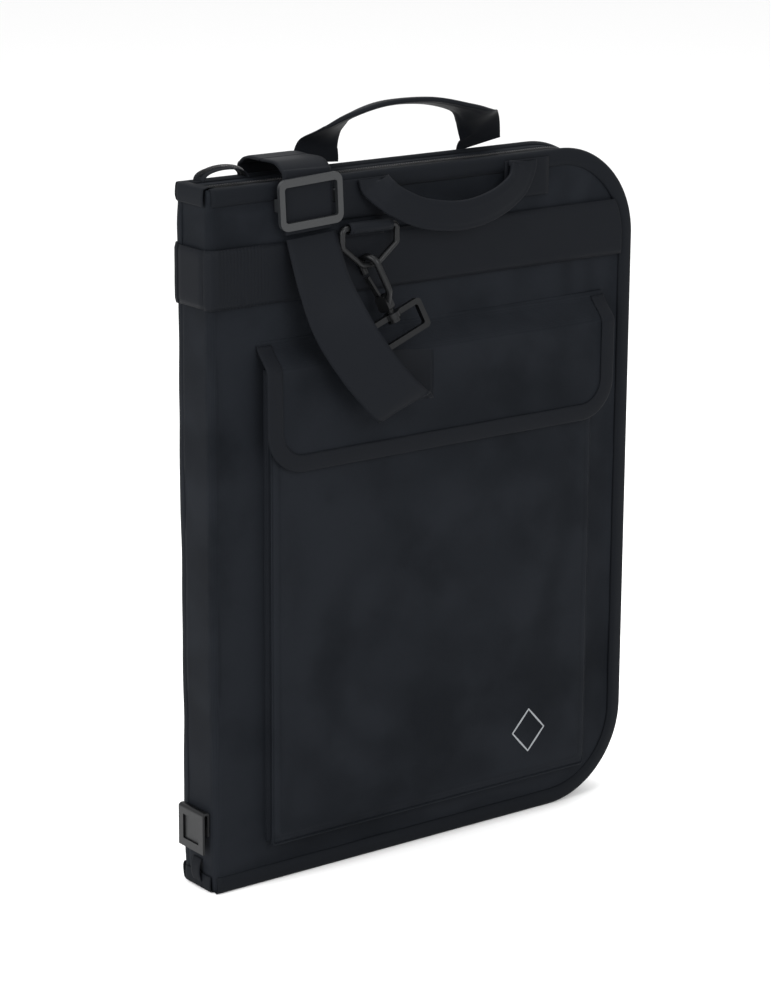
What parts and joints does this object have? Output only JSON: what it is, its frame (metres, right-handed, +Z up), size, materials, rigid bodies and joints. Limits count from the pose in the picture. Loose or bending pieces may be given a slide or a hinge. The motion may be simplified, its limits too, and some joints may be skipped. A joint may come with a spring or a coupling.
{
  "type": "drum stick bag",
  "caption": "Flat upright stick bag: two zipped trays hinged on a soft spine, flap pocket, webbing handles, clip-on shoulder strap and rim hook.",
  "frame": {"origin": "middle of the closed bag's base, on the surface that it stands on", "axes": "+Z up, +X along the front from the spine to the zipped edge, -Y out of the front pocket"},
  "size_m": [0.3608, 0.1406, 0.5129],
  "materials": {
    "nylon": "matt coated woven nylon",
    "webbing": "ribbed woven polypropylene webbing",
    "binding_tape": "twill binding tape",
    "lining_cloth": "smooth lining cloth",
    "closure": "hook and loop tape",
    "black_metal": "satin black plated zinc",
    "black_plastic": "fine moulded texture",
    "zipper_plastic": "nylon coil"
  },
  "bodies": {
    "back_half": {"back_panel": "nylon", "back_gusset": "nylon", "back_zipper_tape": "binding_tape", "back_zipper_coil": "zipper_plastic", "back_binding": "binding_tape", "back_band": "webbing", "back_lining": "lining_cloth", "back_stick_sleeves": "lining_cloth", "back_handle_legs": "webbing", "back_ring_tab": "webbing", "back_strap_run": "webbing"},
    "front_half": {"front_panel": "nylon", "front_gusset": "nylon", "front_zipper_tape": "binding_tape", "front_zipper_coil": "zipper_plastic", "front_binding": "binding_tape", "front_band": "webbing", "front_lining": "lining_cloth", "front_stick_sleeves": "lining_cloth", "front_handle_legs": "webbing", "front_ring_tab": "webbing", "front_strap_run": "webbing", "pocket_gusset": "nylon", "pocket_front": "nylon", "closure_loop_strip": "closure"},
    "spine": {"spine_panel": "nylon", "spine_band": "webbing", "spine_binding": "binding_tape", "zip_end_top": "binding_tape", "zip_end_foot": "binding_tape"},
    "rim_hook": {"rim_hook": "black_metal"},
    "pocket_flap": {"pocket_flap": "nylon", "flap_binding": "binding_tape", "closure_hook_strip": "closure"},
    "front_handle": {"front_handle": "webbing"},
    "front_strap": {"front_d_ring": "black_metal", "front_swivel_base": "black_metal", "front_strap_loop": "webbing"},
    "front_hook": {"front_snap_hook": "black_metal"},
    "front_gate": {"front_hook_gate": "black_metal"},
    "back_handle": {"back_handle": "webbing"},
    "back_strap": {"back_d_ring": "black_metal", "back_swivel_base": "black_metal", "back_strap_loop": "webbing"},
    "back_hook": {"back_snap_hook": "black_metal"},
    "back_gate": {"back_hook_gate": "black_metal"},
    "strap_adjuster": {"strap_adjuster": "black_plastic"},
    "upper_zip_slider": {"upper_zip_slider": "black_metal"},
    "upper_zip_pull": {"upper_zip_pull": "black_metal"},
    "lower_zip_slider": {"lower_zip_slider": "black_metal"},
    "lower_zip_pull": {"lower_zip_pull": "black_metal"}
  },
  "joints": [
    {"name": "spine_fold", "type": "hinge", "parent": "back_half", "child": "spine", "pos_m": [-0.175, 0.019, 0.235], "axis": [0, 0, -1], "range_deg": [0, 90]},
    {"name": "front_fold", "type": "hinge", "parent": "spine", "child": "front_half", "pos_m": [-0.175, -0.019, 0.235], "axis": [0, 0, -1], "range_deg": [0, 90]},
    {"name": "flap_lift", "type": "hinge", "parent": "front_half", "child": "pocket_flap", "pos_m": [0.004, -0.0204, 0.368], "axis": [-1, 0, 0], "range_deg": [0, 110]},
    {"name": "front_strap_swing", "type": "hinge", "parent": "front_half", "child": "front_strap", "pos_m": [-0.0585, -0.029, 0.436], "axis": [-1, 0, 0], "range_deg": [0, 70]},
    {"name": "back_strap_swing", "type": "hinge", "parent": "back_half", "child": "back_strap", "pos_m": [-0.0585, 0.029, 0.436], "axis": [1, 0, 0], "range_deg": [0, 70]},
    {"name": "front_hook_swivel", "type": "hinge", "parent": "front_strap", "child": "front_hook", "pos_m": [-0.04575, -0.03595, 0.37806], "axis": [0.3541, -0.1931, -0.9151], "range_deg": [-6, 6]},
    {"name": "front_gate_open", "type": "hinge", "parent": "front_hook", "child": "front_gate", "pos_m": [-0.05053, -0.0306, 0.3871], "axis": [0.9002, 0.3356, 0.2776], "range_deg": [0, 20], "stiffness_Nm_per_rad": 0.01, "springref_deg": -17.19},
    {"name": "back_hook_swivel", "type": "hinge", "parent": "back_strap", "child": "back_hook", "pos_m": [-0.04575, 0.03595, 0.37806], "axis": [0.3541, 0.1931, -0.9151], "range_deg": [-6, 6]},
    {"name": "back_gate_open", "type": "hinge", "parent": "back_hook", "child": "back_gate", "pos_m": [-0.05053, 0.0306, 0.3871], "axis": [-0.9002, 0.3356, -0.2776], "range_deg": [0, 20], "stiffness_Nm_per_rad": 0.01, "springref_deg": -17.19},
    {"name": "front_handle_swing", "type": "hinge", "parent": "front_half", "child": "front_handle", "pos_m": [0.01, -0.0232, 0.469], "axis": [-1, 0, 0], "range_deg": [0, 150]},
    {"name": "back_handle_swing", "type": "hinge", "parent": "back_half", "child": "back_handle", "pos_m": [0.004, 0.0232, 0.469], "axis": [-1, 0, 0], "range_deg": [-4, 140]},
    {"name": "adjuster_slide", "type": "slide", "parent": "front_half", "child": "strap_adjuster", "axis": [-0.0523, 0, 0.9986], "range_m": [-0.001, 0.006]},
    {"name": "rim_hook_tilt", "type": "hinge", "parent": "spine", "child": "rim_hook", "pos_m": [-0.1774, 0, 0.0545], "axis": [0, 1, 0], "range_deg": [0, 8]},
    {"name": "upper_zip_travel", "type": "slide", "parent": "back_half", "child": "upper_zip_slider", "axis": [0, 0, 1], "range_m": [0, 0.12]},
    {"name": "lower_zip_travel", "type": "slide", "parent": "back_half", "child": "lower_zip_slider", "axis": [0, 0, -1], "range_m": [0, 0.16]},
    {"name": "upper_pull_swing", "type": "hinge", "parent": "upper_zip_slider", "child": "upper_zip_pull", "pos_m": [0.177, 0, 0.276], "axis": [0, -1, 0], "range_deg": [0, 85]},
    {"name": "lower_pull_swing", "type": "hinge", "parent": "lower_zip_slider", "child": "lower_zip_pull", "pos_m": [0.177, 0, 0.236], "axis": [0, -1, 0], "range_deg": [0, 85]}
  ],
  "couplings": [
    {"joint": "front_fold", "follows": "spine_fold", "ratio": 1},
    {"joint": "front_strap_swing", "follows": "flap_lift", "ratio": 0.63}
  ]
}
